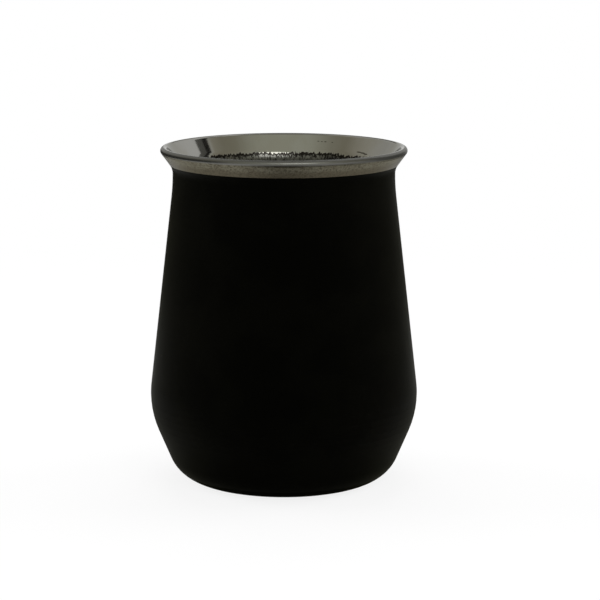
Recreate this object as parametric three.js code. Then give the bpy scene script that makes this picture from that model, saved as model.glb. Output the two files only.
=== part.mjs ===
// A double-walled stainless steel mate cup: a powder-coated outer shell with a wide belly,
// a bare steel liner whose mouth flares out and rolls over into the lip, and the bottoms,
// seal and getter that close and keep the vacuum between the two walls.
// Millimetres, +Z up. The origin is on the table, at the middle of the foot.
import * as THREE from "three";

// Driving dimensions of the outline
const neckRadius = 32.95; // narrowest ring of the body, just under the lip
const neckHeight = 92.5; // height of that ring above the table
const bellySwell = 7.05; // how far the widest ring stands out past the neck
const bellyHeight = 26.2; // height of the widest ring
const bellyRound = 27.5; // radius of the curve through the widest ring
const neckRound = 60; // radius of the curve from the long upper cone into the neck
const lowerTaper = 23; // lean of the short cone under the belly, in degrees from upright
const footRound = 11.4; // radius of the corner between that cone and the foot
const footWidth = 1.6; // width of the flat ring that the cup stands on
const collarRound = 4.55; // radius of the curve from the neck out into the lip
const lipFlare = 36.2; // lean of the lip's outside, in degrees from upright
const lipRise = 6.77; // height of the rolled edge's centre above the neck ring
const beadRadius = 1.1; // outside radius of the rolled edge

// Driving dimensions of the walls and bottoms
const sheet = 0.5; // thickness of the steel sheet
const neckGap = 1.3; // vacuum gap between the two walls at the neck
const throatDepth = 8.3; // depth below the rolled edge's centre where the throat's curve meets the wall
const throatRound = 9; // radius where the funnel of the lip turns down into the wall
const hemRound = 1; // radius of the bend from the foot ring up into the hem
const hemHeight = 5; // height of the shell's upturned inner hem
const hemLedge = 1; // how far the middle bottom reaches out past the hem
const panelInset = 4; // width of the middle bottom's flat rim inside the hem
const panelRise = 1.5; // how far its centre panel is pressed up
const panelStep = 1.5; // width of the slope up to that panel
const dimpleRadius = 4; // mouth of the pump-out dimple
const dimpleFlat = 2.2; // flat at the top of the dimple
const dimpleDepth = 1.2; // depth of the dimple
const pumpHole = 0.6; // radius of the pump-out hole
const sealGap = 0.3; // gap between the glass seal and the dimple's slope
const getterRadius = 5; // outside of the getter cup
const getterHeight = 2.6; // height of the getter cup
const tabletGap = 0.3; // gap between the tablet and its cup
const tabletHeight = 2; // height of the tablet
const tabletChamfer = 0.4; // chamfer round the tablet's top
const bottomGap = 2.9; // vacuum gap over the getter cup
const linerCorner = 8; // inside corner radius of the liner's bottom
const linerSkirt = 5; // straight rim of the liner's bottom, up to its weld
const floorDome = 0.8; // how far the liner's floor swells up in the middle
const coverGap = 0.2; // gap between the base cover's rim and the hem
const coverRecess = 1.2; // how far the base cover sits above the table
const coverRound = 1.2; // outside corner radius of the base cover
const coverPanel = 13.5; // radius of the base cover's raised centre
const coverStep = 1; // width of the slope up to it
const coverRise = 0.6; // how far that centre is pressed up

// Fineness of the solids
const turnSteps = 48; // flats round the large pieces
const smallTurnSteps = 24; // flats round the small pieces
const chordError = 0.05; // how far a flat may lie from a round stretch of a profile
const domeSteps = 3; // flats from the middle of the liner's floor to its edge

const coat = new THREE.MeshStandardMaterial({ color: 0x0b0b09, roughness: 0.55, metalness: 0 });
const steel = new THREE.MeshStandardMaterial({ color: 0x8c8b82, roughness: 0.3, metalness: 1 });
const glass = new THREE.MeshStandardMaterial({ color: 0x3d4a3a, roughness: 0.15, metalness: 0 });
const getterMetal = new THREE.MeshStandardMaterial({ color: 0x55524e, roughness: 0.8, metalness: 0.4 });

const point = (radius, height) => new THREE.Vector2(radius, height);
const radians = THREE.MathUtils.degToRad;

// The point of a circle in a profile that lies at an angle from its outward direction.
function onCircle(centre, radius, angle) {
  return point(centre.x + radius * Math.cos(angle), centre.y + radius * Math.sin(angle));
}

// Points along an arc, both ends included, close enough to keep within the chord error.
function arc(centre, radius, from, to) {
  const widest = 2 * Math.acos(Math.max(0, 1 - chordError / radius));
  const steps = Math.max(2, Math.ceil(Math.abs(to - from) / widest));
  return Array.from({ length: steps + 1 }, (_, i) => onCircle(centre, radius, from + ((to - from) * i) / steps));
}

// A ring or disc turned from a profile about +Z. A profile off the axis closes on itself.
function turned(name, profile, material, steps = turnSteps) {
  const outline = profile.map((p) => p.clone());
  const first = outline[0];
  const last = outline[outline.length - 1];
  if (first.x > 0 || last.x > 0) outline.push(first.clone());
  const geometry = new THREE.LatheGeometry(outline, steps).rotateX(Math.PI / 2);
  const mesh = new THREE.Mesh(geometry, material);
  mesh.name = name;
  return mesh;
}

// Sizes that follow from the driving dimensions
const flare = radians(lipFlare);
const lean = radians(lowerTaper);
const bellyRadius = neckRadius + bellySwell;
const bellyCentre = point(bellyRadius - bellyRound, bellyHeight);
const neckCentre = point(neckRadius + neckRound, neckHeight);
const collarCentre = point(neckRadius + collarRound, neckHeight);

// The upper cone touches the belly's circle on one side and the neck's on the other.
const bellyToNeck = neckCentre.clone().sub(bellyCentre);
const crossing = Math.acos((bellyRound + neckRound) / bellyToNeck.length());
const upperLean = bellyToNeck.angle() - crossing;

// The corner at the foot touches the table and the lower cone.
const lowerConeTop = onCircle(bellyCentre, bellyRound, -lean);
const lowerConeFoot = lowerConeTop.x - lowerConeTop.y * Math.tan(lean);
const footRadius = lowerConeFoot - footRound * Math.tan((Math.PI / 2 - lean) / 2);
const footCentre = point(footRadius, footRound);

// The seam between the two walls, where the collar's curve ends and the straight lip begins.
const seam = onCircle(collarCentre, collarRound, Math.PI - flare);
const seamInside = Math.asin((seam.y - neckHeight) / (collarRound + sheet));

// The rolled edge's centre lies off the lip's outside by its own radius.
const beadHeight = neckHeight + lipRise;
const lipLength = (beadHeight - beadRadius * Math.sin(flare) - seam.y) / Math.cos(flare);
const beadCentre = point(
  seam.x + lipLength * Math.sin(flare) - beadRadius * Math.cos(flare),
  beadHeight,
);

// The liner's wall, and the funnel that touches the rolled edge and the throat's curve.
const linerOutside = neckRadius - sheet - neckGap;
const throatRadius = linerOutside - sheet;
const throatCentre = point(throatRadius + throatRound, beadHeight - throatDepth);
const throatToBead = beadCentre.clone().sub(throatCentre);
const funnel = throatToBead.angle() + Math.acos((throatRound - beadRadius) / throatToBead.length());

// The hem inside the foot, and what stands on it, from the middle bottom up to the liner's floor.
const hemInside = footRadius - footWidth - hemRound;
const bendCentre = point(hemInside + hemRound, hemRound);
const panelRadius = hemInside - panelInset;
const panelUnderside = hemHeight + panelRise;
const panelTop = panelUnderside + sheet;
const dimpleTop = panelUnderside + dimpleDepth;
const getterOffset = (dimpleRadius + panelRadius - panelStep) / 2;
const floorUnderside = panelTop + getterHeight + bottomGap;
const floorEdge = throatRadius - linerCorner;
const cornerCentre = point(floorEdge, floorUnderside + sheet + linerCorner);
const linerWeld = cornerCentre.y + linerSkirt;

// The outer shell, from the hem round the foot, up the body to the seam and back down inside.
function outerShell() {
  const profile = [
    point(hemInside, hemHeight),
    ...arc(bendCentre, hemRound, Math.PI, 1.5 * Math.PI),
    ...arc(footCentre, footRound, -Math.PI / 2, -lean),
    ...arc(bellyCentre, bellyRound, -lean, upperLean),
    ...arc(neckCentre, neckRound, Math.PI + upperLean, Math.PI),
    ...arc(collarCentre, collarRound, Math.PI, Math.PI - flare).slice(1),
    ...arc(collarCentre, collarRound + sheet, Math.PI - seamInside, Math.PI),
    ...arc(neckCentre, neckRound + sheet, Math.PI, Math.PI + upperLean).slice(1),
    ...arc(bellyCentre, bellyRound - sheet, upperLean, -lean),
    ...arc(footCentre, footRound - sheet, -lean, -Math.PI / 2),
    ...arc(bendCentre, hemRound - sheet, 1.5 * Math.PI, Math.PI),
    point(hemInside + sheet, hemHeight),
  ];
  return turned("outer_shell", profile, coat);
}

// The inner liner: the lip's outside from the seam, the rolled edge, the funnel and the wall.
function innerLiner() {
  const profile = [
    seam,
    ...arc(beadCentre, beadRadius, -flare, funnel),
    ...arc(throatCentre, throatRound, funnel, Math.PI),
    point(throatRadius, linerWeld),
    point(linerOutside, linerWeld),
    ...arc(throatCentre, throatRound - sheet, Math.PI, funnel),
    ...arc(beadCentre, beadRadius - sheet, funnel, -flare),
    point(seam.x - sheet / Math.cos(flare), seam.y),
  ];
  return turned("inner_liner", profile, steel);
}

// Points of the liner's swelling floor, from the edge of its corner to the middle.
function floorLine(height) {
  return Array.from({ length: domeSteps }, (_, i) => {
    const share = (domeSteps - 1 - i) / domeSteps;
    return point(floorEdge * share, height + floorDome * (1 - share * share));
  });
}

// The liner's bottom, a drawn dish that meets the wall at its weld.
function linerBottom() {
  const profile = [
    ...floorLine(floorUnderside).reverse(),
    ...arc(cornerCentre, linerCorner + sheet, -Math.PI / 2, 0),
    point(linerOutside, linerWeld),
    point(throatRadius, linerWeld),
    ...arc(cornerCentre, linerCorner, 0, -Math.PI / 2),
    ...floorLine(floorUnderside + sheet),
  ];
  return turned("liner_bottom", profile, steel);
}

// The middle bottom, which closes the vacuum on top of the hem, with its pump-out dimple.
function middleBottom() {
  const slopeFoot = panelRadius;
  const slopeTop = panelRadius - panelStep;
  const rim = hemInside + sheet + hemLedge;
  const profile = [
    point(pumpHole, dimpleTop),
    point(dimpleFlat, dimpleTop),
    point(dimpleRadius, panelUnderside),
    point(slopeTop, panelUnderside),
    point(slopeFoot, hemHeight),
    point(rim, hemHeight),
    point(rim, hemHeight + sheet),
    point(slopeFoot, hemHeight + sheet),
    point(slopeTop, panelTop),
    point(dimpleRadius, panelTop),
    point(dimpleFlat, dimpleTop + sheet),
    point(pumpHole, dimpleTop + sheet),
  ];
  return turned("middle_bottom", profile, steel);
}

// The solder glass that fills the dimple under the pump-out hole.
function glassSeal() {
  const profile = [
    point(0, panelUnderside),
    point(dimpleRadius - sealGap, panelUnderside),
    point(dimpleFlat - sealGap, dimpleTop),
    point(0, dimpleTop),
  ];
  return turned("glass_seal", profile, glass, smallTurnSteps);
}

// The getter cup, spot-welded to the vacuum side of the middle bottom beside the dimple.
function getterCup() {
  const bore = getterRadius - sheet;
  const profile = [
    point(0, 0),
    point(getterRadius, 0),
    point(getterRadius, getterHeight),
    point(bore, getterHeight),
    point(bore, sheet),
    point(0, sheet),
  ];
  const mesh = turned("getter_cup", profile, steel, smallTurnSteps);
  mesh.position.set(getterOffset, 0, panelTop);
  return mesh;
}

// The getter tablet, which lies in that cup and takes up the last gas.
function getterTablet() {
  const radius = getterRadius - sheet - tabletGap;
  const profile = [
    point(0, 0),
    point(radius, 0),
    point(radius, tabletHeight - tabletChamfer),
    point(radius - tabletChamfer, tabletHeight),
    point(0, tabletHeight),
  ];
  const mesh = turned("getter_tablet", profile, getterMetal, smallTurnSteps);
  mesh.position.set(getterOffset, 0, panelTop + sheet);
  return mesh;
}

// The base cover, a shallow dish pressed up inside the hem against the middle bottom.
function baseCover() {
  const rim = hemInside - coverGap;
  const coverCentre = point(rim - coverRound, coverRecess + coverRound);
  const top = coverRecess + sheet;
  const profile = [
    point(0, coverRecess + coverRise),
    point(coverPanel - coverStep, coverRecess + coverRise),
    point(coverPanel, coverRecess),
    ...arc(coverCentre, coverRound, -Math.PI / 2, 0),
    point(rim, hemHeight),
    point(rim - sheet, hemHeight),
    ...arc(coverCentre, coverRound - sheet, 0, -Math.PI / 2),
    point(coverPanel, top),
    point(coverPanel - coverStep, top + coverRise),
    point(0, top + coverRise),
  ];
  return turned("base_cover", profile, steel);
}

const cup = new THREE.Group();
cup.name = "mate_cup";
cup.add(outerShell(), innerLiner(), linerBottom(), middleBottom());
cup.add(glassSeal(), getterCup(), getterTablet(), baseCover());

export default cup;
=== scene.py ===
"""Looks of a double-walled stainless steel mate cup, laid out as an add-on.

Each operator models or finishes one piece round its fixed solid, and the last one sets up the stage.
"""
import math
from collections import Counter

import bpy
from bpy.props import FloatProperty, FloatVectorProperty, PointerProperty
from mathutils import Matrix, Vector


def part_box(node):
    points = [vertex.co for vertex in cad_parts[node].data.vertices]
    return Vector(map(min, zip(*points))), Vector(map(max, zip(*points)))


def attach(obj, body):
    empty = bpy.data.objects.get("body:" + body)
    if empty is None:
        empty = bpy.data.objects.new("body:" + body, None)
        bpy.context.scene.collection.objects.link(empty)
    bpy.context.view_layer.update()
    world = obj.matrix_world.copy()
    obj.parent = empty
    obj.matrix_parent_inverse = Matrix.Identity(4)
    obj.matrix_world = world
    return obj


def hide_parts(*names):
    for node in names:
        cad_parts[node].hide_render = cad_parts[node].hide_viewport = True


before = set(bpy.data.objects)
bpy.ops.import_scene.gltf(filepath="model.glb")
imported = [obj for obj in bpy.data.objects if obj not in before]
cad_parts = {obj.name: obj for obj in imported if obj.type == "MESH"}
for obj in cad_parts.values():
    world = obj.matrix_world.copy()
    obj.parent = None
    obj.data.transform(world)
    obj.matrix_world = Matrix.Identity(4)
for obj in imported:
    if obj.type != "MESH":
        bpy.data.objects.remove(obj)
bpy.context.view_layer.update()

bl_info = {
    "name": "Mate Cup",
    "version": (1, 0, 0),
    "blender": (4, 5, 0),
    "location": "View3D > Sidebar > Mate Cup",
    "description": "Models and finishes a double-walled stainless steel mate cup",
    "category": "Object",
}

MM = 0.001
SHEET = 0.5 * MM
SHELL_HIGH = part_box("outer_shell")[1]
LINER_LOW, LINER_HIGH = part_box("inner_liner")
DISH_LOW, DISH_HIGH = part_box("liner_bottom")
COVER_LOW, COVER_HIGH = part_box("base_cover")
MIDDLE_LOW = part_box("middle_bottom")[0]

# Fineness of the turned meshes
TURN_STEPS = 240
ARC_STEP = math.radians(5)
FEWEST_ARC_STEPS = 4
CORNER_STEPS = 4
DOME_STEPS = 12
MERGE_DISTANCE = 0.002 * MM
SMOOTH_ANGLE = math.radians(32)
LONG_STRETCH = 1 * MM
SUPPORT_STEP = 0.08 * MM

# Cards that show only in reflections. Turns are degrees from straight behind, clockwise from above
CARD_BLUE = 0.93
ROUND_CARD_CORNERS = 48
SIDE_CARD_RADIUS = 0.18
SIDE_CARD_FOOT = 0.062
SIDE_CARD_HEIGHT = 0.14
SIDE_CARD_SLOPE = (0, 0.35, 1)

# Side cards: turns, level, and the places along the slope with full tone and with none
SIDE_CARDS = (
    ("left_card", (232, 320), 0.09, (0.152, 0.18)),
    ("right_card", (40, 100), 0.26, (0.17, 0.2)),
)

# Low cards: turns, height and level
LOW_CARD_RADIUS = 0.3
LOW_CARDS = (
    ("left_low_card", (-115, -20), 0.11, 0.05),
    ("right_low_card", (20, 115), 0.06, 0.15),
)

# Strips: turns, foot and level
STRIP_DISTANCE = 0.95
STRIP_HEIGHT = 1.6
STRIPS = (
    ("grey_strip", (63.6, 72.4), 0, 0.17),
    ("black_strip", (72.4, 78.7), 0, 0.03),
    ("pale_strip", (78.7, 82.5), 0, 0.68),
    ("back_strip", (-18, 12), 0.42, 0.25),
)

# Canopy: share of the way from front to back, and the tone there
CANOPY_TURN = (81, 338)
CANOPY_RADIUS = 1.0
CANOPY_FOOT = 0.15
CANOPY_HEIGHT = 2.4
CANOPY_TONES = (
    (0.0, (0.69, 0.7, 0.595, 1)),
    (0.1, (0.66, 0.665, 0.56, 1)),
    (0.3, (0.46, 0.445, 0.36, 1)),
    (0.45, (0.43, 0.41, 0.33, 1)),
    (0.56, (0.55, 0.53, 0.455, 1)),
    (0.7, (0.66, 0.645, 0.575, 1)),
    (0.88, (0.72, 0.715, 0.69, 1)),
    (0.97, (0.95, 0.95, 0.94, 1)),
)
CANOPY_TOP = (0.45, 0.45, 0.41)

# Floor shades: middle, distances from it with full tone and with none, and level
SHADE_BLUE = 0.92
FLOOR_SHADES = (
    ("near_shade", (0, -0.15, 0.001), (0.04, 0.13), 0.06),
    ("far_shade", (0, -0.37, 0.002), (0.08, 0.25), 0.3),
    ("right_shade", (0.16, -0.11, 0.0015), (0.05, 0.15), 0.4),
    ("right_end_shade", (0.25, 0.11, 0.0025), (0.06, 0.14), 0.3),
    ("back_shade", (0, 0.055, 0.003), (0.04, 0.14), 0.35),
    ("foot_shade", (0, 0, 0.0005), (0.038, 0.05), 0.02),
)

# Lamps: distance, degrees round from the front, degrees up, then width and height
LEFT_LAMP_PLACE = (0.9, -105, 18)
RIGHT_LAMP_PLACE = (0.9, 105, 18)
SIDE_LAMP_SIZE = (0.6, 0.6)
TOP_LAMP_PLACE = (1.2, 180, 65)
TOP_LAMP_SIZE = (0.8, 0.8)
FRONT_LAMP_PLACE = (0.9, 13, 36)
FRONT_LAMP_SIZE = (0.5, 0.3)
BODY_AIM = Vector((0, 0, 0.05))
LIP_AIM = Vector((0, 0, 0.1))

# Floor and camera
WHITE = (1, 1, 1)
FLOOR_RADIUS = 6
FLOOR_CORNERS = 64
FLOOR_COLOUR = (0.9, 0.9, 0.9)
FLOOR_FADE = (0.1, 0.45)
SENSOR_WIDTH = 36
NEAREST_SEEN = 0.01

# Grain, relief and sheen of the coat
COAT_GRAIN = 0.35 * MM
COAT_GRAIN_RELIEF = 0.03 * MM
COAT_SWELL = 2.4 * MM
COAT_SWELL_RELIEF = 0.02 * MM
COAT_PATCH = 14 * MM
DUST_SPACING = 4 * MM
COAT_SHEEN = 0.014
COAT_SHEEN_ROUGHNESS = 0.37

# Grain and relief of the steel. Depths are below the line where the polish stops, from no share to a full one
TOOTH_WIDTH = 0.6 * MM
TOOTH_HEIGHT = 2.6 * MM
WAVE_LENGTH = 6 * MM
WAVE_HEIGHT = 1.4 * MM
POLISH_FADE = 0.08 * MM
# Patches and depth of the dark teeth, whose blackness is partly painted reflection of the dark inside of the
# cup
TEETH_PATCH = 4 * MM
TEETH_DEPTH = (1 * MM, 0.6 * MM)
# Depth of the painted shade on the wall below the polish line
SHADED_DEPTH = (0.9 * MM, 2 * MM)
UPPER_WALL_DEPTH = (16 * MM, 4 * MM)
FUNNEL_CLOUD = 7 * MM
# Grain, wave and fade of the darker lower half of the lip's outside
LIP_LOW_GRAIN = 1 * MM
LIP_LOW_WAVE = 1.2 * MM
LIP_LOW_FADE = 0.7 * MM
BLOTCH = 1.6 * MM
SPECK_WIDTH = 0.6 * MM
STREAK_WIDTH = 0.4 * MM
STREAK_RELIEF = 0.012 * MM
TURNING_GRAIN = 0.12 * MM
TURNING_RELIEF = 0.004 * MM
RING_WIDTH = 0.25 * MM
RING_RELIEF = 0.004 * MM
RING_CLOUD = 6 * MM

# Heights with no buffing and with full buffing on the rolled edge, in its radii from its middle
BUFFED_SIDE = (-0.6, -0.1)

# Nicks in the funnel: degrees from the back, share of the way up, and half sizes
NICKS = (
    (18.5, 0.61, (0.45 * MM, 0.25 * MM, 0.14 * MM)),
    (20.5, 0.59, (0.4 * MM, 0.25 * MM, 0.14 * MM)),
    (22.5, 0.59, (0.5 * MM, 0.25 * MM, 0.17 * MM)),
    (26.5, 0.57, (0.35 * MM, 0.25 * MM, 0.13 * MM)),
    (45.5, 0.06, (1.2 * MM, 0.5 * MM, 0.22 * MM)),
    (48.5, 0.03, (1.2 * MM, 0.5 * MM, 0.26 * MM)),
    (51, -0.02, (1.1 * MM, 0.5 * MM, 0.26 * MM)),
)

# Sockets of the Mix node, whose names repeat for each kind of value
MIX_FACTOR, MIX_FIRST, MIX_SECOND = 0, 6, 7
MIX_RESULT = 2


def length(name, description, default):
    """A property that holds a length in metres."""
    return FloatProperty(
        name=name, description=description, default=default, unit="LENGTH", min=0, precision=5
    )


def angle(name, description, degrees):
    """A property that holds an angle."""
    return FloatProperty(
        name=name, description=description, default=math.radians(degrees), subtype="ANGLE"
    )


def colour(name, description, default):
    """A property that holds a linear colour."""
    return FloatVectorProperty(
        name=name, description=description, default=default, size=3, subtype="COLOR", min=0, max=1
    )


def share(name, description, default):
    """A property that holds a share from nought to one."""
    return FloatProperty(
        name=name, description=description, default=default, min=0, max=1, subtype="FACTOR"
    )


def power(name, description, default):
    """A property that holds a lamp's power in watts."""
    return FloatProperty(name=name, description=description, default=default, min=0, unit="POWER")


class CupSizes(bpy.types.PropertyGroup):
    """Sizes of the cup's cross-section."""

    belly_radius: length("Belly radius", "Widest ring of the body", SHELL_HIGH.x)
    belly_height: length("Belly height", "Height of the widest ring", 26.2 * MM)
    belly_round: length("Belly round", "Radius of the curve through the widest ring", 27.5 * MM)
    neck_radius: length("Neck radius", "Narrowest ring of the body", 32.95 * MM)
    neck_height: length("Neck height", "Height of the narrowest ring", 92.5 * MM)
    neck_round: length("Neck round", "Radius of the curve from the upper cone into the neck", 60 * MM)
    lower_taper: angle("Lower taper", "Lean of the short cone under the belly", 23)
    foot_round: length("Foot round", "Radius of the corner at the foot", 11.4 * MM)
    foot_width: length("Foot width", "Width of the flat ring that the cup stands on", 1.6 * MM)
    hem_round: length("Hem round", "Radius of the bend from the foot into the hem", 1 * MM)
    hem_height: length("Hem height", "Height of the shell's upturned hem", MIDDLE_LOW.z)
    collar_round: length("Collar round", "Radius of the curve from the neck out into the lip", 4.55 * MM)
    coat_edge: length("Coat edge", "Rounding of the coat where it ends under the lip", 0.14 * MM)
    sheet: length("Sheet", "Thickness of the steel sheet", SHEET)
    lip_flare: angle("Lip flare", "Lean of the lip's outside", 36.2)
    bead_radius: length("Bead radius", "Outside radius of the rolled edge", 1.1 * MM)
    rim_height: length("Rim height", "Top of the rolled edge", LINER_HIGH.z)
    crease_depth: length("Crease depth", "Depth of the crease under the rolled edge", 0.07 * MM)
    crease_width: length("Crease width", "Half width of that crease", 0.16 * MM)
    throat_radius: length("Throat radius", "Inside of the liner's wall", DISH_HIGH.x - SHEET)
    throat_depth: length("Throat depth", "Depth of the wall's top below the rolled edge's centre", 8.3 * MM)
    throat_round: length("Throat round", "Radius where the funnel turns down into the wall", 9 * MM)
    polish_depth: length("Polish depth", "Depth below the rim where the funnel's polish stops", 5.6 * MM)
    weld_height: length("Weld height", "Height of the weld between the liner and its floor", LINER_LOW.z)
    weld_groove: length("Weld groove", "Rounding of the two edges at that weld", 0.1 * MM)
    floor_height: length("Floor height", "Underside of the liner's floor at its edge", DISH_LOW.z)
    floor_corner: length("Floor corner", "Inside corner radius of the liner's floor", 8 * MM)
    floor_dome: length("Floor dome", "How far that floor swells up in the middle", 0.8 * MM)
    cover_radius: length("Cover radius", "Rim of the base cover", COVER_HIGH.x)
    cover_recess: length("Cover recess", "Height of the base cover above the table", COVER_LOW.z)
    cover_round: length("Cover round", "Outside corner radius of the base cover", 1.2 * MM)
    cover_panel: length("Cover panel", "Radius of the base cover's raised centre", 13.5 * MM)
    cover_step: length("Cover step", "Width of the slope up to that centre", 1 * MM)
    cover_rise: length("Cover rise", "How far that centre is pressed up", 0.6 * MM)


class CupFinishes(bpy.types.PropertyGroup):
    """Colours and gloss of the cup's surfaces."""

    coat: colour("Coat", "Powder coat of the body", (0.0013, 0.0013, 0.0009))
    coat_patch: colour("Coat patch", "Paler patches of the powder coat", (0.0018, 0.0018, 0.0012))
    coat_sheen: colour("Coat sheen", "Tint of the faint sheen on the powder coat", (1, 0.98, 0.4))
    dust: colour("Dust", "Specks of dust on the coat", (0.04, 0.04, 0.036))
    coat_roughness: share("Coat roughness", "Roughness of the powder coat", 0.5)
    funnel: colour("Funnel", "Polished steel inside the lip", (0.285, 0.282, 0.262))
    funnel_tint: colour("Funnel tint", "Browner clouds in that polish", (0.27, 0.264, 0.238))
    nick: colour("Nick", "Small dark nicks in that polish", (0.06, 0.056, 0.045))
    lip: colour("Lip", "Satin steel on the outside of the lip", (0.175, 0.164, 0.121))
    # A darker brown of the lip's outside, along its lower half and in blotches
    lip_dark: colour("Lip stain", "Brown stains on the outside of the lip", (0.122, 0.107, 0.075))
    lip_speck: colour("Lip speck", "Fine dark specks on the outside of the lip", (0.08, 0.07, 0.049))
    bead: colour("Bead", "Buffed steel of the rolled edge", (0.145, 0.144, 0.136))
    # The wall's steel is darker near its top than further down
    wall: colour("Wall", "Drawn steel of the liner's wall", (0.15, 0.148, 0.138))
    wall_deep: colour("Deep wall", "Brushed steel further down that wall", (0.52, 0.51, 0.47))
    # This near-black serves the wall's drawing streaks and dark teeth, whose blackness is partly painted
    # reflection of the dark inside, and the painted shade below the polish line
    wall_streak_and_shade: colour("Wall streak", "Dark drawing streaks on that wall", (0.014, 0.013, 0.011))
    floor: colour("Floor", "Drawn steel of the liner's floor", (0.52, 0.51, 0.47))
    cover: colour("Cover", "Brushed steel of the base cover", (0.46, 0.455, 0.42))
    glass: colour("Glass", "Solder glass of the pump-out seal", (0.05, 0.07, 0.045))
    getter: colour("Getter", "Pressed powder of the getter tablet", (0.09, 0.085, 0.08))


class StageSetup(bpy.types.PropertyGroup):
    """Camera, lamps and floor."""

    camera_distance: length("Camera distance", "Distance of the camera from the cup's axis", 0.7)
    camera_height: length("Camera height", "Height of the camera above the table", 0.1821)
    camera_tilt: angle("Camera tilt", "How far the camera looks down", 10.36)
    camera_lens: FloatProperty(
        name="Camera lens", description="Focal length in millimetres",
        default=142.71, min=1, subtype="DISTANCE_CAMERA",
    )
    camera_shift: FloatProperty(
        name="Camera shift", description="Sideways shift of the picture, as a share of its width",
        default=0.0268,
    )
    side_power: power("Side power", "Power of each side lamp", 6)
    top_power: power("Top power", "Power of the lamp overhead", 6)
    front_power: power("Front power", "Power of the front lamp", 1.5)
    sky: share("Sky", "Strength of the even light from all round", 0.4)
    floor_glow: share("Floor glow", "Share of the floor's white that shadows leave", 0.84)


# Geometry of the cross-section


def on_circle(centre, radius, direction):
    """The point of a circle in the cross-section that lies in a direction from its centre."""
    return centre + radius * Vector((math.cos(direction), math.sin(direction)))


def arc(centre, radius, start, end):
    """Points along an arc, both ends included."""
    steps = max(FEWEST_ARC_STEPS, math.ceil(abs(end - start) / ARC_STEP))
    return [on_circle(centre, radius, start + (end - start) * i / steps) for i in range(steps + 1)]


def corner(before, tip, after):
    """Points of a small rounding between two points beside a corner."""
    points = []
    for i in range(CORNER_STEPS + 1):
        t = i / CORNER_STEPS
        points.append((1 - t) ** 2 * before + 2 * t * (1 - t) * tip + t**2 * after)
    return points


def towards(start, end, distance):
    """The point at a distance from one point towards another."""
    return start + (end - start).normalized() * distance


def ring(radius, height):
    """A point of the cross-section."""
    return Vector((radius, height))


def supported(points):
    """The outline with a point close to each end of a long stretch, so that it shades straight."""
    result = [points[0]]
    for start, end in zip(points, points[1:]):
        if (end - start).length > LONG_STRETCH:
            result.append(towards(start, end, SUPPORT_STEP))
            result.append(towards(end, start, SUPPORT_STEP))
        result.append(end)
    return result


class Section:
    """Circles and seams of the cross-section that several pieces share."""

    def __init__(self, sizes):
        self.belly = ring(sizes.belly_radius - sizes.belly_round, sizes.belly_height)
        self.neck = ring(sizes.neck_radius + sizes.neck_round, sizes.neck_height)
        self.collar = ring(sizes.neck_radius + sizes.collar_round, sizes.neck_height)

        # The upper cone touches the belly's circle on one side and the neck's on the other.
        across = self.neck - self.belly
        crossing = math.acos((sizes.belly_round + sizes.neck_round) / across.length)
        self.upper_lean = math.atan2(across.y, across.x) - crossing

        # The corner at the foot touches the table and the lower cone.
        cone_top = on_circle(self.belly, sizes.belly_round, -sizes.lower_taper)
        cone_foot = cone_top.x - cone_top.y * math.tan(sizes.lower_taper)
        foot_radius = cone_foot - sizes.foot_round * math.tan((math.pi / 2 - sizes.lower_taper) / 2)
        self.foot = ring(foot_radius, sizes.foot_round)
        self.hem = ring(foot_radius - sizes.foot_width, sizes.hem_round)

        # The coat ends at the seam, where the collar's curve runs out into the straight lip.
        self.seam = on_circle(self.collar, sizes.collar_round, math.pi - sizes.lip_flare)

        # The rolled edge lies against the lip, and the funnel touches it and the throat's curve.
        bead_height = sizes.rim_height - sizes.bead_radius
        flare = sizes.lip_flare
        lip_rise = bead_height - sizes.bead_radius * math.sin(flare) - self.seam.y
        lip_end = self.seam.x + lip_rise * math.tan(flare)
        self.bead = ring(lip_end - sizes.bead_radius * math.cos(flare), bead_height)
        self.wall_radius = sizes.throat_radius
        self.bead_radius = sizes.bead_radius
        self.lip_top = on_circle(self.bead, sizes.bead_radius, -flare)
        self.polish_end = sizes.rim_height - sizes.polish_depth
        self.throat = ring(sizes.throat_radius + sizes.throat_round, bead_height - sizes.throat_depth)
        to_bead = self.bead - self.throat
        off_line = math.acos((sizes.throat_round - sizes.bead_radius) / to_bead.length)
        self.funnel = math.atan2(to_bead.y, to_bead.x) + off_line
        self.funnel_top = on_circle(self.bead, sizes.bead_radius, self.funnel)
        self.funnel_foot = on_circle(self.throat, sizes.throat_round, self.funnel)


# Modelling


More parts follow.
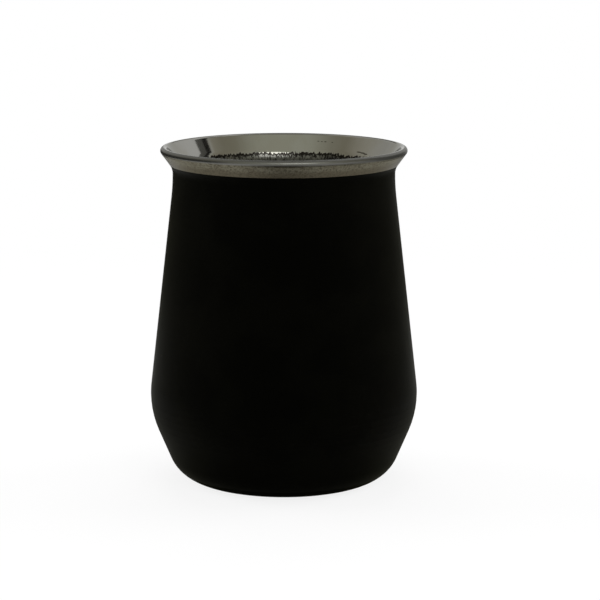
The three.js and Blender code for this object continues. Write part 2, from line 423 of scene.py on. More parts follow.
def turned_piece(name, outline, on_axis):
    """Draw an outline point by point and spin it round the cup's axis into a closed piece.

    An outline that starts and ends on the axis is left open, and any other closes on itself.
    """
    bpy.ops.object.select_all(action="DESELECT")
    bpy.ops.mesh.primitive_plane_add(size=MM, location=(0, 0, 0))
    piece = bpy.context.active_object
    piece.name = name
    piece.data.name = name
    bpy.ops.object.mode_set(mode="EDIT")
    bpy.ops.mesh.select_all(action="SELECT")
    bpy.ops.mesh.merge(type="CENTER")
    points = list(outline)
    if not on_axis:
        points.append(outline[0])
    here = Vector((0, 0))
    for number, point in enumerate(supported(points)):
        step = point - here
        move = {"value": (step.x, 0, step.y)}
        if number == 0:
            bpy.ops.transform.translate(**move)
        else:
            bpy.ops.mesh.extrude_vertices_move(TRANSFORM_OT_translate=move)
        here = point
    bpy.ops.mesh.select_all(action="SELECT")
    bpy.ops.mesh.spin(steps=TURN_STEPS, angle=math.tau, center=(0, 0, 0), axis=(0, 0, 1))
    bpy.ops.mesh.select_all(action="SELECT")
    bpy.ops.mesh.remove_doubles(threshold=MERGE_DISTANCE)
    bpy.ops.mesh.normals_make_consistent(inside=False)
    bpy.ops.object.mode_set(mode="OBJECT")
    bpy.ops.object.shade_smooth_by_angle(angle=SMOOTH_ANGLE)
    faces_at = Counter(key for face in piece.data.polygons for key in face.edge_keys)
    if not faces_at or set(faces_at.values()) != {2}:
        raise RuntimeError(f"{name} is not a closed piece")
    return piece


def settle(piece, node, material):
    """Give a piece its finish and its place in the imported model."""
    piece.data.materials.clear()
    piece.data.materials.append(material)
    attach(piece, "root")
    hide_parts(node)


# Finishes


class Nodes:
    """A tree of nodes, with short ways to add and join them."""

    def __init__(self, tree):
        self.tree = tree

    def add(self, kind, **settings):
        """Add a node with its settings."""
        node = self.tree.nodes.new(kind)
        for name, value in settings.items():
            setattr(node, name, value)
        return node

    def feed(self, socket, value):
        """Link a socket to another node's output, or set its value."""
        if isinstance(value, bpy.types.NodeSocket):
            self.tree.links.new(value, socket)
        elif socket.type == "RGBA":
            socket.default_value = (*value, 1)
        else:
            socket.default_value = value

    def fed(self, node, values):
        """A node with its first sockets fed in order."""
        for socket, value in zip(node.inputs, values):
            self.feed(socket, value)
        return node

    def sum_of(self, operation, *values):
        """One step of arithmetic."""
        return self.fed(self.add("ShaderNodeMath", operation=operation), values).outputs[0]

    def measure(self, operation, *values):
        """A number taken from vectors, such as a length or a distance."""
        return self.fed(self.add("ShaderNodeVectorMath", operation=operation), values).outputs["Value"]

    def pair(self, first, second):
        """Two numbers as the coordinates of a flat place."""
        return self.fed(self.add("ShaderNodeCombineXYZ"), (first, second)).outputs[0]

    def run(self, value, start, end, low, high, kind):
        """A number that runs from low at the start value to high at the end value."""
        node = self.add("ShaderNodeMapRange", interpolation_type=kind)
        return self.fed(node, (value, start, end, low, high)).outputs["Result"]

    def ramp(self, value, start, end):
        """A share that runs softly from nought at the start value to one at the end value."""
        return self.run(value, start, end, 0, 1, "SMOOTHSTEP")

    def between(self, value, low, high):
        """A number that follows a share evenly from a low to a high value."""
        return self.run(value, 0, 1, low, high, "LINEAR")

    def blend(self, amount, first, second):
        """A node that blends two shaders."""
        return self.fed(self.add("ShaderNodeMixShader"), (amount, first.outputs[0], second.outputs[0]))


class Finish(Nodes):
    """A piece's material, with patterns that lie on the piece."""

    def __init__(self, name):
        self.material = bpy.data.materials.new(name)
        self.material.use_nodes = True
        super().__init__(self.material.node_tree)
        self.shader = self.tree.nodes["Principled BSDF"]
        self.place = self.add("ShaderNodeTexCoord").outputs["Object"]

    def split(self):
        """The three coordinates of a point."""
        return self.fed(self.add("ShaderNodeSeparateXYZ"), (self.place,)).outputs

    def height(self):
        """The height of a point above the table."""
        return self.split()[2]

    def radius(self):
        """The distance of a point from the cup's axis."""
        parts = self.split()
        return self.measure("LENGTH", self.pair(parts[0], parts[1]))

    def stretched(self, scale):
        """Object coordinates with each axis scaled."""
        node = self.add("ShaderNodeMapping")
        self.feed(node.inputs["Vector"], self.place)
        self.feed(node.inputs["Scale"], scale)
        return node.outputs[0]

    def noise(self, place, grain, detail=2, roughness=0.5):
        """A cloudy pattern whose spots measure about one grain."""
        node = self.add("ShaderNodeTexNoise")
        self.feed(node.inputs["Vector"], place)
        self.feed(node.inputs["Scale"], 1 / grain)
        self.feed(node.inputs["Detail"], detail)
        self.feed(node.inputs["Roughness"], roughness)
        return node.outputs["Fac"]

    def shifted(self, height, pattern, rise):
        """A height moved up and down by a pattern, by half a rise at most."""
        return self.sum_of("MULTIPLY_ADD", self.sum_of("SUBTRACT", pattern, 0.5), rise, height)

    def mixed(self, amount, first, second):
        """A colour between two others."""
        node = self.add("ShaderNodeMix", data_type="RGBA")
        self.feed(node.inputs[MIX_FACTOR], amount)
        self.feed(node.inputs[MIX_FIRST], first)
        self.feed(node.inputs[MIX_SECOND], second)
        return node.outputs[MIX_RESULT]

    def bumped(self, height, depth, normal=None):
        """A normal that follows a height, whose full range is as deep as the depth."""
        node = self.add("ShaderNodeBump")
        self.feed(node.inputs["Distance"], depth)
        self.feed(node.inputs["Height"], height)
        if normal is not None:
            self.feed(node.inputs["Normal"], normal)
        return node.outputs[0]

    def set(self, **values):
        """Set or link the shader's sockets, with spaces in their names written as underscores."""
        for name, value in values.items():
            self.feed(self.shader.inputs[name.replace("_", " ")], value)


def powder_coat(finishes):
    """Matt black powder coat: a fine grain, faint patches, a warm sheen and a little dust."""
    finish = Finish("powder_coat")
    grain = finish.noise(finish.place, COAT_GRAIN, detail=3)
    swell = finish.noise(finish.place, COAT_SWELL, detail=1)
    patch = finish.ramp(finish.noise(finish.place, COAT_PATCH, detail=3), 0.4, 0.65)
    base = finish.mixed(patch, finishes.coat, finishes.coat_patch)

    # A speck lies in the middle of a few of the cells.
    cells = finish.add("ShaderNodeTexVoronoi")
    finish.feed(cells.inputs["Vector"], finish.place)
    finish.feed(cells.inputs["Scale"], 1 / DUST_SPACING)
    near = finish.ramp(cells.outputs["Distance"], 0.045, 0.02)
    pick = finish.fed(finish.add("ShaderNodeSeparateColor"), (cells.outputs["Color"],))
    chosen = finish.ramp(pick.outputs[0], 0.94, 0.96)
    speck = finish.sum_of("MULTIPLY", near, chosen)

    rough = finishes.coat_roughness
    swollen = finish.bumped(swell, COAT_SWELL_RELIEF)
    finish.set(
        Base_Color=finish.mixed(speck, base, finishes.dust),
        Roughness=finish.between(grain, rough - 0.06, rough + 0.06),
        Normal=finish.bumped(grain, COAT_GRAIN_RELIEF, swollen),
        Specular_IOR_Level=0.017,
        Specular_Tint=(0.055, 0.053, 0.043),
        Sheen_Weight=COAT_SHEEN,
        Sheen_Roughness=COAT_SHEEN_ROUGHNESS,
        Sheen_Tint=finishes.coat_sheen,
    )
    return finish.material


class LipZones:
    """Shares that say in which zone of the liner a point lies."""

    def __init__(self, finish, section):
        self.height = finish.height()
        self.radius = finish.radius()

        # The outside lies past a line that runs up between the walls and through the rolled edge.
        middle = (section.seam.x + section.wall_radius) / 2
        slope = (section.bead.x - middle) / (section.bead.y - section.seam.y)
        line = finish.sum_of("MULTIPLY_ADD", self.height, slope, middle - slope * section.seam.y)
        line = finish.sum_of("MAXIMUM", line, middle)
        past_line = finish.sum_of("SUBTRACT", self.radius, line)
        self.outside = finish.ramp(past_line, 0, 0.3 * MM)
        inside = finish.sum_of("SUBTRACT", 1, self.outside)

        # The rolled edge is buffed from its top out to its lower side.
        flat_place = finish.pair(self.radius, self.height)
        from_centre = finish.measure("DISTANCE", flat_place, (*section.bead, 0))
        edge = section.bead_radius
        round_edge = finish.ramp(from_centre, edge + 0.25 * MM, edge + 0.05 * MM)
        outer_half = finish.ramp(self.radius, section.bead.x, section.bead.x + 0.3 * MM)
        buffed_heights = (section.bead.y + radii * edge for radii in BUFFED_SIDE)
        upper_side = finish.ramp(self.height, *buffed_heights)
        buffed_side = finish.sum_of("MULTIPLY", outer_half, upper_side)
        self.bead = finish.sum_of("MULTIPLY", round_edge, buffed_side)

        # The polish stops at a ragged line round the throat, and dark teeth stand along it, whose blackness
        # is partly painted reflection of the dark inside of the cup.
        teeth = finish.noise(finish.stretched((1, 1, 0.15)), TOOTH_WIDTH, roughness=0.6)
        waves = finish.noise(finish.place, WAVE_LENGTH)
        ragged = finish.shifted(self.height, teeth, TOOTH_HEIGHT)
        ragged = finish.shifted(ragged, waves, WAVE_HEIGHT)
        above = finish.sum_of("SUBTRACT", ragged, section.polish_end)
        below = finish.ramp(above, POLISH_FADE, -POLISH_FADE)
        self.wall = finish.sum_of("MULTIPLY", below, inside)
        patches = finish.noise(finish.stretched((1, 1, 0.2)), TEETH_PATCH)
        near_line = finish.ramp(above, *(-depth for depth in TEETH_DEPTH))
        self.dark_teeth = finish.sum_of("MULTIPLY", near_line, finish.ramp(patches, 0.24, 0.36))

        # Further down, the wall is in shade at first and then paler.
        depth = finish.sum_of("SUBTRACT", section.polish_end, self.height)
        self.shaded = finish.ramp(depth, *SHADED_DEPTH)
        self.upper_wall = finish.ramp(depth, *UPPER_WALL_DEPTH)


def nick_share(finish, section, azimuth, share_up, span):
    """A share of one in a short nick across the funnel, at an azimuth from the back."""
    spot = section.funnel_foot.lerp(section.funnel_top, share_up)
    node = finish.add("ShaderNodeMapping", vector_type="TEXTURE")
    finish.feed(node.inputs["Vector"], finish.place)
    place = (spot.x * math.sin(azimuth), spot.x * math.cos(azimuth), spot.y)
    finish.feed(node.inputs["Location"], place)
    finish.feed(node.inputs["Rotation"], (0, 0, -azimuth))
    finish.feed(node.inputs["Scale"], span)
    return finish.ramp(finish.measure("LENGTH", node.outputs[0]), 1, 0.6)


def lip_steel(finishes, section):
    """Steel of the liner: polished funnel, buffed edge, satin outside and drawn wall."""
    finish = Finish("lip_steel")
    zones = LipZones(finish, section)

    # Colour of the funnel, with its clouds and nicks
    cloud = finish.noise(finish.stretched((1, 1, 0.3)), FUNNEL_CLOUD, detail=3)
    funnel = finish.mixed(finish.ramp(cloud, 0.42, 0.62), finishes.funnel, finishes.funnel_tint)
    for azimuth, share_up, span in NICKS:
        nick = nick_share(finish, section, math.radians(azimuth), share_up, span)
        funnel = finish.mixed(nick, funnel, finishes.nick)

    # Colour of the lip's outside, darker along its lower half and in blotches, and finely specked
    spread = finish.noise(finish.stretched((0.3, 0.3, 1)), LIP_LOW_GRAIN, detail=4, roughness=0.6)
    wavy_height = finish.shifted(zones.height, spread, LIP_LOW_WAVE)
    middle = section.seam.lerp(section.lip_top, 0.5).y
    low = finish.ramp(wavy_height, middle + LIP_LOW_FADE, middle - LIP_LOW_FADE)
    lip = finish.mixed(low, finishes.lip, finishes.lip_dark)
    blotch = finish.noise(finish.stretched((0.4, 0.4, 1)), BLOTCH, detail=3)
    lip = finish.mixed(finish.ramp(blotch, 0.5, 0.75), lip, finishes.lip_dark)
    specks = finish.noise(finish.place, SPECK_WIDTH, detail=3, roughness=0.7)
    lip = finish.mixed(finish.ramp(specks, 0.42, 0.66), lip, finishes.lip_speck)

    # Colour of the wall, with its drawing streaks and dark teeth, whose blackness is partly painted
    # reflection of the dark inside of the cup, and painted shade below the polish line
    streak = finish.noise(finish.stretched((1, 1, 0.04)), STREAK_WIDTH, detail=3, roughness=0.7)
    streak_strength = finish.between(zones.upper_wall, 0.1, 1)
    dark = finish.sum_of("MULTIPLY", finish.ramp(streak, 0.44, 0.6), streak_strength)
    # Painted shade on the wall below the polish line, in the same near-black as the streaks
    shade_strength = finish.between(zones.upper_wall, 0, 0.6)
    shaded = finish.sum_of("MULTIPLY", zones.shaded, shade_strength)
    dark = finish.sum_of("MAXIMUM", dark, shaded)
    wall = finish.mixed(zones.upper_wall, finishes.wall_deep, finishes.wall)
    wall = finish.mixed(dark, wall, finishes.wall_streak_and_shade)
    wall = finish.mixed(zones.dark_teeth, wall, finishes.wall_streak_and_shade)

    colours = finish.mixed(zones.outside, funnel, lip)
    colours = finish.mixed(zones.bead, colours, finishes.bead)
    colours = finish.mixed(zones.wall, colours, wall)

    # Gloss and relief
    rough = finish.between(zones.outside, 0.08, 0.3)
    rough = finish.sum_of("MAXIMUM", rough, finish.between(zones.bead, 0, 0.34))
    rough = finish.sum_of("MULTIPLY_ADD", zones.wall, 0.12, rough)
    turning = finish.noise(finish.pair(zones.radius, zones.height), TURNING_GRAIN)
    satin = finish.sum_of("SUBTRACT", zones.outside, zones.bead)
    satin_relief = finish.bumped(finish.sum_of("MULTIPLY", turning, satin), TURNING_RELIEF)
    wall_streaks = finish.sum_of("MULTIPLY", streak, zones.wall)

    finish.set(
        Base_Color=colours,
        Metallic=1.0,
        Roughness=rough,
        Normal=finish.bumped(wall_streaks, STREAK_RELIEF, satin_relief),
        Specular_Tint=(0.62, 0.62, 0.6),
    )
    return finish.material


def turned_steel(name, base, roughness):
    """Steel sheet with fine rings round the axis from its drawing and polishing."""
    finish = Finish(name)
    flat_place = finish.pair(finish.radius(), finish.height())
    rings = finish.noise(flat_place, RING_WIDTH, detail=4, roughness=0.7)
    cloud = finish.noise(finish.place, RING_CLOUD, detail=3)
    ring_shade = finish.between(rings, 0.75, 1.25)
    cloud_shade = finish.between(cloud, 0.88, 1.12)
    toned = finish.add("ShaderNodeVectorMath", operation="SCALE")
    finish.feed(toned.inputs[0], base)
    finish.feed(toned.inputs["Scale"], finish.sum_of("MULTIPLY", ring_shade, cloud_shade))
    finish.set(
        Base_Color=toned.outputs[0],
        Metallic=1.0,
        Roughness=finish.between(rings, roughness - 0.08, roughness + 0.1),
        Normal=finish.bumped(rings, RING_RELIEF),
        Specular_Tint=(0.7, 0.7, 0.68),
    )
    return finish.material


def solder_glass(finishes):
    """Dull green solder glass with small bubbles."""
    finish = Finish("solder_glass")
    bubbles = finish.noise(finish.place, 0.4 * MM, detail=2)
    dull = [part * 0.5 for part in finishes.glass]
    finish.set(
        Base_Color=finish.mixed(bubbles, finishes.glass, dull),
        Roughness=finish.between(bubbles, 0.1, 0.25),
        Normal=finish.bumped(bubbles, 0.02 * MM),
    )
    return finish.material


def getter_powder(finishes):
    """Pressed grey metal powder with an open grain."""
    finish = Finish("getter_powder")
    grains = finish.noise(finish.place, 0.15 * MM, detail=4, roughness=0.7)
    dull = [part * 0.5 for part in finishes.getter]
    finish.set(
        Base_Color=finish.mixed(grains, finishes.getter, dull),
        Metallic=0.4,
        Roughness=finish.between(grains, 0.7, 0.9),
        Normal=finish.bumped(grains, 0.06 * MM),
    )
    return finish.material


# Operators, one for each piece or group of pieces


class MATECUP_OT_coated_body(bpy.types.Operator):
    """Turn the powder-coated body from its hem and foot up to the edge of the coat"""

    bl_idname = "mate_cup.coated_body"
    bl_label = "Coated Body"

    def execute(self, context):
        sizes = context.scene.mate_cup_sizes
        section = Section(sizes)
        sheet = sizes.sheet
        flare = sizes.lip_flare
        edge_angle = math.pi - flare + sizes.coat_edge / sizes.collar_round
        before_edge = on_circle(section.collar, sizes.collar_round, edge_angle)
        after_edge = section.seam - ring(sizes.coat_edge, 0)
        seam_inside = math.asin((section.seam.y - sizes.neck_height) / (sizes.collar_round + sheet))
        hem_inside = section.hem.x - sizes.hem_round
        outline = [
            ring(hem_inside, sizes.hem_height),
            *arc(section.hem, sizes.hem_round, math.pi, 1.5 * math.pi),
            *arc(section.foot, sizes.foot_round, -math.pi / 2, -sizes.lower_taper),
            *arc(section.belly, sizes.belly_round, -sizes.lower_taper, 0),
            *arc(section.belly, sizes.belly_round, 0, section.upper_lean)[1:],
            *arc(section.neck, sizes.neck_round, math.pi + section.upper_lean, math.pi),
            *arc(section.collar, sizes.collar_round, math.pi, edge_angle)[1:-1],
            *corner(before_edge, section.seam, after_edge),
            *arc(section.collar, sizes.collar_round + sheet, math.pi - seam_inside, math.pi),
            *arc(section.neck, sizes.neck_round + sheet, math.pi, math.pi + section.upper_lean)[1:],
            *arc(section.belly, sizes.belly_round - sheet, section.upper_lean, -sizes.lower_taper),
            *arc(section.foot, sizes.foot_round - sheet, -sizes.lower_taper, -math.pi / 2),
            *arc(section.hem, sizes.hem_round - sheet, 1.5 * math.pi, math.pi),
            ring(hem_inside + sheet, sizes.hem_height),
        ]
        piece = turned_piece("coated_body", outline, on_axis=False)
        settle(piece, "outer_shell", powder_coat(context.scene.mate_cup_finishes))
        return {"FINISHED"}


class MATECUP_OT_steel_liner(bpy.types.Operator):
    """Turn the bare steel liner: the lip's outside, the rolled edge, the funnel and the wall"""

    bl_idname = "mate_cup.steel_liner"
    bl_label = "Steel Liner"

    def execute(self, context):
        sizes = context.scene.mate_cup_sizes
        section = Section(sizes)
        sheet = sizes.sheet
        flare = sizes.lip_flare
        wall_outside = sizes.throat_radius + sheet
        crease = on_circle(section.bead, sizes.bead_radius - sizes.crease_depth, -flare)
        crease_turn = sizes.crease_width / sizes.bead_radius
        groove = sizes.weld_groove
        weld = ring(sizes.throat_radius, sizes.weld_height)
        outline = [
            section.seam,
            towards(section.lip_top, section.seam, sizes.crease_width),
            crease,
            *arc(section.bead, sizes.bead_radius, crease_turn - flare, section.funnel),
            *arc(section.throat, sizes.throat_round, section.funnel, math.pi),
            *corner(weld + ring(0, groove), weld, weld + ring(groove, 0)),
            ring(wall_outside, sizes.weld_height),
            *arc(section.throat, sizes.throat_round - sheet, math.pi, section.funnel),
            *arc(section.bead, sizes.bead_radius - sheet, section.funnel, -flare),
            section.seam - ring(sheet / math.cos(flare), 0),
        ]
        piece = turned_piece("steel_liner", outline, on_axis=False)
        settle(piece, "inner_liner", lip_steel(context.scene.mate_cup_finishes, section))
        return {"FINISHED"}


class MATECUP_OT_liner_floor(bpy.types.Operator):
    """Turn the drawn dish that closes the liner and is the floor of the cup"""

    bl_idname = "mate_cup.liner_floor"
    bl_label = "Liner Floor"

    def execute(self, context):
        sizes = context.scene.mate_cup_sizes
        sheet = sizes.sheet
        edge = sizes.throat_radius - sizes.floor_corner
        centre = ring(edge, sizes.floor_height + sheet + sizes.floor_corner)
        wall_outside = sizes.throat_radius + sheet
        groove = sizes.weld_groove
        weld = ring(sizes.throat_radius, sizes.weld_height)

        def dome(height):
            shares = [i / DOME_STEPS for i in range(DOME_STEPS)]
            return [ring(edge * s, height + sizes.floor_dome * (1 - s * s)) for s in shares]

        outline = [
            *dome(sizes.floor_height),
            *arc(centre, sizes.floor_corner + sheet, -math.pi / 2, 0),
            ring(wall_outside, sizes.weld_height),
            *corner(weld + ring(groove, 0), weld, weld - ring(0, groove)),
            *arc(centre, sizes.floor_corner, 0, -math.pi / 2),
            *reversed(dome(sizes.floor_height + sheet)),
        ]
        piece = turned_piece("liner_floor", outline, on_axis=True)
        floor = context.scene.mate_cup_finishes.floor
        settle(piece, "liner_bottom", turned_steel("floor_steel", floor, 0.28))
        return {"FINISHED"}


class MATECUP_OT_foot_cover(bpy.types.Operator):
    """Turn the pressed steel cover inside the foot, with its raised centre"""

    bl_idname = "mate_cup.foot_cover"
    bl_label = "Foot Cover"

    def execute(self, context):
        sizes = context.scene.mate_cup_sizes
        sheet = sizes.sheet
        rim = sizes.cover_radius
        low = sizes.cover_recess
        high = low + sizes.cover_rise
        half = sizes.cover_step / 2
        centre = ring(rim - sizes.cover_round, low + sizes.cover_round)
        up = ring(0, sheet)
        step_top = ring(sizes.cover_panel - sizes.cover_step, high)
        step_foot = ring(sizes.cover_panel, low)
        slope = [
            *corner(step_top - ring(half, 0), step_top, towards(step_top, step_foot, half)),
            *corner(towards(step_foot, step_top, half), step_foot, step_foot + ring(half, 0)),
        ]
        outline = [
            ring(0, high),
            *slope,
            *arc(centre, sizes.cover_round, -math.pi / 2, 0),
            ring(rim, sizes.hem_height),
            ring(rim - sheet, sizes.hem_height),
            *arc(centre, sizes.cover_round - sheet, 0, -math.pi / 2),
            *[point + up for point in reversed(slope)],
            ring(0, high) + up,
        ]
        piece = turned_piece("foot_cover", outline, on_axis=True)
        cover = context.scene.mate_cup_finishes.cover
        settle(piece, "base_cover", turned_steel("cover_steel", cover, 0.3))
        return {"FINISHED"}


class MATECUP_OT_vacuum_parts(bpy.types.Operator):
    """Finish the solids inside the vacuum: the middle bottom, the glass seal and the getter"""

    bl_idname = "mate_cup.vacuum_parts"
    bl_label = "Vacuum Parts"

    def execute(self, context):
        finishes = context.scene.mate_cup_finishes
        sheet_steel = turned_steel("inner_sheet_steel", finishes.cover, 0.35)
        materials = {
            "middle_bottom": sheet_steel,
            "getter_cup": sheet_steel,
            "glass_seal": solder_glass(finishes),
            "getter_tablet": getter_powder(finishes),
        }
        for node, material in materials.items():
            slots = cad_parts[node].data.materials
            slots.clear()
            slots.append(material)
        return {"FINISHED"}


# Stage


def seen_rays(nodes):
    """A share of one for rays from the camera, and for those that metal and glass send on."""
    path = nodes.add("ShaderNodeLightPath")
    mirrored = path.outputs["Is Glossy Ray"]
    sent_on = nodes.sum_of("MAXIMUM", mirrored, path.outputs["Is Transmission Ray"])
    return nodes.sum_of("MAXIMUM", path.outputs["Is Camera Ray"], sent_on)


def white_world(stage):
    """White all round to the eye, with a softer even light on the object."""
    world = bpy.data.worlds.new("studio")
    world.use_nodes = True
    bpy.context.scene.world = world
    nodes = Nodes(world.node_tree)
    background = nodes.tree.nodes["Background"]
    nodes.feed(background.inputs["Color"], WHITE)
    nodes.feed(background.inputs["Strength"], nodes.between(seen_rays(nodes), stage.sky, 1))


def pale_floor(stage):
    """A wide white floor that keeps a soft shadow, clear when seen from below."""
    bpy.ops.object.select_all(action="DESELECT")
    bpy.ops.mesh.primitive_circle_add(
        vertices=FLOOR_CORNERS, radius=FLOOR_RADIUS, fill_type="NGON", location=(0, 0, 0)
    )
    floor = bpy.context.active_object
    floor.name = "floor"
    material = bpy.data.materials.new("pale_floor")
    material.use_nodes = True
    nodes = Nodes(material.node_tree)
    nodes.tree.nodes.clear()
    matt = nodes.add("ShaderNodeBsdfDiffuse")
    nodes.feed(matt.inputs["Color"], FLOOR_COLOUR)
    glow = nodes.add("ShaderNodeEmission")
    nodes.feed(glow.inputs["Color"], WHITE)

    # The glow grows to pure white far from the cup.
    distance = nodes.measure("LENGTH", nodes.add("ShaderNodeTexCoord").outputs["Object"])
    far = nodes.run(distance, *FLOOR_FADE, stage.floor_glow, 1, "SMOOTHSTEP")
    from_above = nodes.blend(nodes.sum_of("MULTIPLY", seen_rays(nodes), far), matt, glow)
    below = nodes.add("ShaderNodeNewGeometry").outputs["Backfacing"]
    surface = nodes.blend(below, from_above, nodes.add("ShaderNodeBsdfTransparent"))
    output = nodes.add("ShaderNodeOutputMaterial")
    nodes.feed(output.inputs["Surface"], surface.outputs[0])
    floor.data.materials.append(material)


def lamp_place(distance, azimuth, elevation, aim):
    """A place seen from an aim, in degrees round from the front to the right and degrees up."""
    turn = math.radians(azimuth)
    rise = math.radians(elevation)
    flat = distance * math.cos(rise)
    return aim + Vector((flat * math.sin(turn), -flat * math.cos(turn), distance * math.sin(rise)))


def soft_lamp(name, place, aim, size, watts, shines=False):
    """A rectangular soft lamp, which the steel mirrors only where it shines."""
    bpy.ops.object.light_add(type="AREA", location=lamp_place(*place, aim))
    lamp = bpy.context.active_object
    lamp.name = name
    lamp.data.shape = "RECTANGLE"
    lamp.data.size, lamp.data.size_y = size
    lamp.data.energy = watts
    lamp.visible_camera = False
    lamp.visible_glossy = shines
    lamp.rotation_euler = (aim - lamp.location).to_track_quat("-Z", "Y").to_euler()


class Card(Nodes):
    """A card of the stage that shows only in reflections, and the nodes of its tone."""

    def __init__(self, card, name):
        card.name = name
        card.visible_camera = False
        card.visible_diffuse = False
        card.visible_shadow = False
        card.visible_transmission = False
        material = bpy.data.materials.new(name)
        material.use_nodes = True
        super().__init__(material.node_tree)
        self.tree.nodes.clear()
        self.tone = self.add("ShaderNodeEmission")
        self.mix = self.blend(1, self.add("ShaderNodeBsdfTransparent"), self.tone)
        output = self.add("ShaderNodeOutputMaterial")
        self.feed(output.inputs["Surface"], self.mix.outputs[0])
        self.place = self.add("ShaderNodeTexCoord").outputs["Object"]
        card.data.materials.append(material)

    def colour(self, value):
        """Give the card a colour."""
        self.feed(self.tone.inputs["Color"], value)

    def grey(self, level, blue_share=1):
        """Give the card a grey, with less blue for a warm one."""
        self.colour((level, level, level * blue_share))

    def fade(self, measure, full, gone):
        """Let the card run out softly as a measure of the place goes from full to gone."""
        self.feed(self.mix.inputs[0], self.ramp(measure, gone, full))


def curved_card(name, radius, turn, foot, height):
    """An upright card curved round the cup's axis from one turn to another."""
    start, end = (math.radians(degrees) for degrees in turn)
    bpy.ops.object.select_all(action="DESELECT")
    bpy.ops.mesh.primitive_plane_add(size=MM, location=(0, 0, 0))
    card = bpy.context.active_object
    bpy.ops.object.mode_set(mode="EDIT")
    bpy.ops.mesh.merge(type="CENTER")
    bpy.ops.transform.translate(value=(radius * math.sin(start), radius * math.cos(start), foot))
    bpy.ops.mesh.extrude_vertices_move(TRANSFORM_OT_translate={"value": (0, 0, height)})
    bpy.ops.mesh.select_all(action="SELECT")
    steps = math.ceil((end - start) / ARC_STEP)
    bpy.ops.mesh.spin(steps=steps, angle=end - start, center=(0, 0, 0), axis=(0, 0, 1))
    bpy.ops.object.mode_set(mode="OBJECT")
    return Card(card, name)


def flat_card(name, place, radius):
    """A round card that lies flat."""
    bpy.ops.object.select_all(action="DESELECT")
    bpy.ops.mesh.primitive_circle_add(
        vertices=ROUND_CARD_CORNERS, radius=radius, fill_type="NGON", location=place
    )
    return Card(bpy.context.active_object, name)


def side_cards():
    """Low dark cards on both sides, lower towards the back, for the ends of the rolled edge."""
    for name, turn, level, (full, gone) in SIDE_CARDS:
        card = curved_card(name, SIDE_CARD_RADIUS, turn, SIDE_CARD_FOOT, SIDE_CARD_HEIGHT)
        card.grey(level, CARD_BLUE)
        card.fade(card.measure("DOT_PRODUCT", card.place, SIDE_CARD_SLOPE), full, gone)


def low_cards():
    """Low dark cards round both sides of the back, for the edges of the black body."""
    for name, turn, height, level in LOW_CARDS:
        curved_card(name, LOW_CARD_RADIUS, turn, 0, height).grey(level)


def upright_strips():
    """Upright strips behind, for the band in the funnel and the top of the front edge."""
    for name, turn, foot, level in STRIPS:
        curved_card(name, STRIP_DISTANCE, turn, foot, STRIP_HEIGHT).grey(level, CARD_BLUE)


def canopy():
    """A grey-green canopy with a lid, round the front and the left, for the rest of the funnel."""
    card = curved_card("canopy", CANOPY_RADIUS, CANOPY_TURN, CANOPY_FOOT, CANOPY_HEIGHT)
    tones = card.add("ShaderNodeValToRGB")
    stops = tones.color_ramp.elements
    while len(stops) < len(CANOPY_TONES):
        stops.new(1)
    for stop, (place, tone) in zip(stops, CANOPY_TONES):
        stop.position = place
        stop.color = tone
    to_back = card.measure("DOT_PRODUCT", card.place, (0, 1, 0))
    share_back = card.run(to_back, -CANOPY_RADIUS, CANOPY_RADIUS, 0, 1, "LINEAR")
    card.feed(tones.inputs[0], share_back)
    card.colour(tones.outputs[0])
    flat_card("canopy_top", (0, 0, CANOPY_FOOT + CANOPY_HEIGHT), CANOPY_RADIUS).colour(CANOPY_TOP)


def floor_shades():
    """Soft dark patches on the floor, for the underside of the rolled edge, the lip and the foot."""
    for name, place, (full, gone), level in FLOOR_SHADES:
        card = flat_card(name, place, gone)
        card.grey(level, SHADE_BLUE)
        card.fade(card.measure("LENGTH", card.place), full, gone)


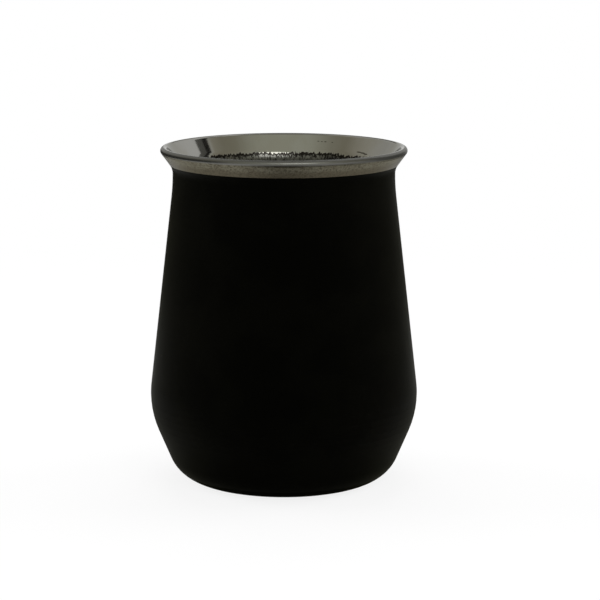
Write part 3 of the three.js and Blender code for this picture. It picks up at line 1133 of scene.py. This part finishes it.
class MATECUP_OT_stage(bpy.types.Operator):
    """Set up the floor, the soft studio light and the camera"""

    bl_idname = "mate_cup.stage"
    bl_label = "Stage"

    def execute(self, context):
        stage = context.scene.mate_cup_stage
        context.scene.view_settings.view_transform = "Standard"
        white_world(stage)
        pale_floor(stage)
        soft_lamp("left_lamp", LEFT_LAMP_PLACE, BODY_AIM, SIDE_LAMP_SIZE, stage.side_power)
        soft_lamp("right_lamp", RIGHT_LAMP_PLACE, BODY_AIM, SIDE_LAMP_SIZE, stage.side_power)
        soft_lamp("top_lamp", TOP_LAMP_PLACE, BODY_AIM, TOP_LAMP_SIZE, stage.top_power)
        soft_lamp("front_lamp", FRONT_LAMP_PLACE, LIP_AIM, FRONT_LAMP_SIZE, stage.front_power, shines=True)
        side_cards()
        low_cards()
        upright_strips()
        canopy()
        floor_shades()

        bpy.ops.object.camera_add(location=(0, -stage.camera_distance, stage.camera_height))
        camera = bpy.context.active_object
        camera.name = "camera"
        camera.rotation_euler = (math.pi / 2 - stage.camera_tilt, 0, 0)
        camera.data.sensor_width = SENSOR_WIDTH
        camera.data.lens = stage.camera_lens
        camera.data.shift_x = stage.camera_shift
        camera.data.clip_start = NEAREST_SEEN
        context.scene.camera = camera
        return {"FINISHED"}


class MATECUP_PT_panel(bpy.types.Panel):
    """The cup's pieces and stage in the sidebar"""

    bl_label = "Mate Cup"
    bl_idname = "MATECUP_PT_panel"
    bl_space_type = "VIEW_3D"
    bl_region_type = "UI"
    bl_category = "Mate Cup"

    def draw(self, context):
        for operator in OPERATORS:
            self.layout.operator(operator.bl_idname)
        scene = context.scene
        for group in (scene.mate_cup_sizes, scene.mate_cup_finishes, scene.mate_cup_stage):
            box = self.layout.box()
            for name in group.__annotations__:
                box.prop(group, name)


OPERATORS = (
    MATECUP_OT_coated_body,
    MATECUP_OT_steel_liner,
    MATECUP_OT_liner_floor,
    MATECUP_OT_foot_cover,
    MATECUP_OT_vacuum_parts,
    MATECUP_OT_stage,
)
CLASSES = (CupSizes, CupFinishes, StageSetup, *OPERATORS, MATECUP_PT_panel)


def register():
    """Add the classes and the scene's settings."""
    for cls in CLASSES:
        bpy.utils.register_class(cls)
    bpy.types.Scene.mate_cup_sizes = PointerProperty(type=CupSizes)
    bpy.types.Scene.mate_cup_finishes = PointerProperty(type=CupFinishes)
    bpy.types.Scene.mate_cup_stage = PointerProperty(type=StageSetup)


def unregister():
    """Take the settings and the classes away again."""
    del bpy.types.Scene.mate_cup_stage
    del bpy.types.Scene.mate_cup_finishes
    del bpy.types.Scene.mate_cup_sizes
    for cls in reversed(CLASSES):
        bpy.utils.unregister_class(cls)


def main():
    """Make the cup and its stage."""
    register()
    bpy.ops.mate_cup.coated_body()
    bpy.ops.mate_cup.steel_liner()
    bpy.ops.mate_cup.liner_floor()
    bpy.ops.mate_cup.foot_cover()
    bpy.ops.mate_cup.vacuum_parts()
    bpy.ops.mate_cup.stage()


if __name__ == "__main__":
    main()
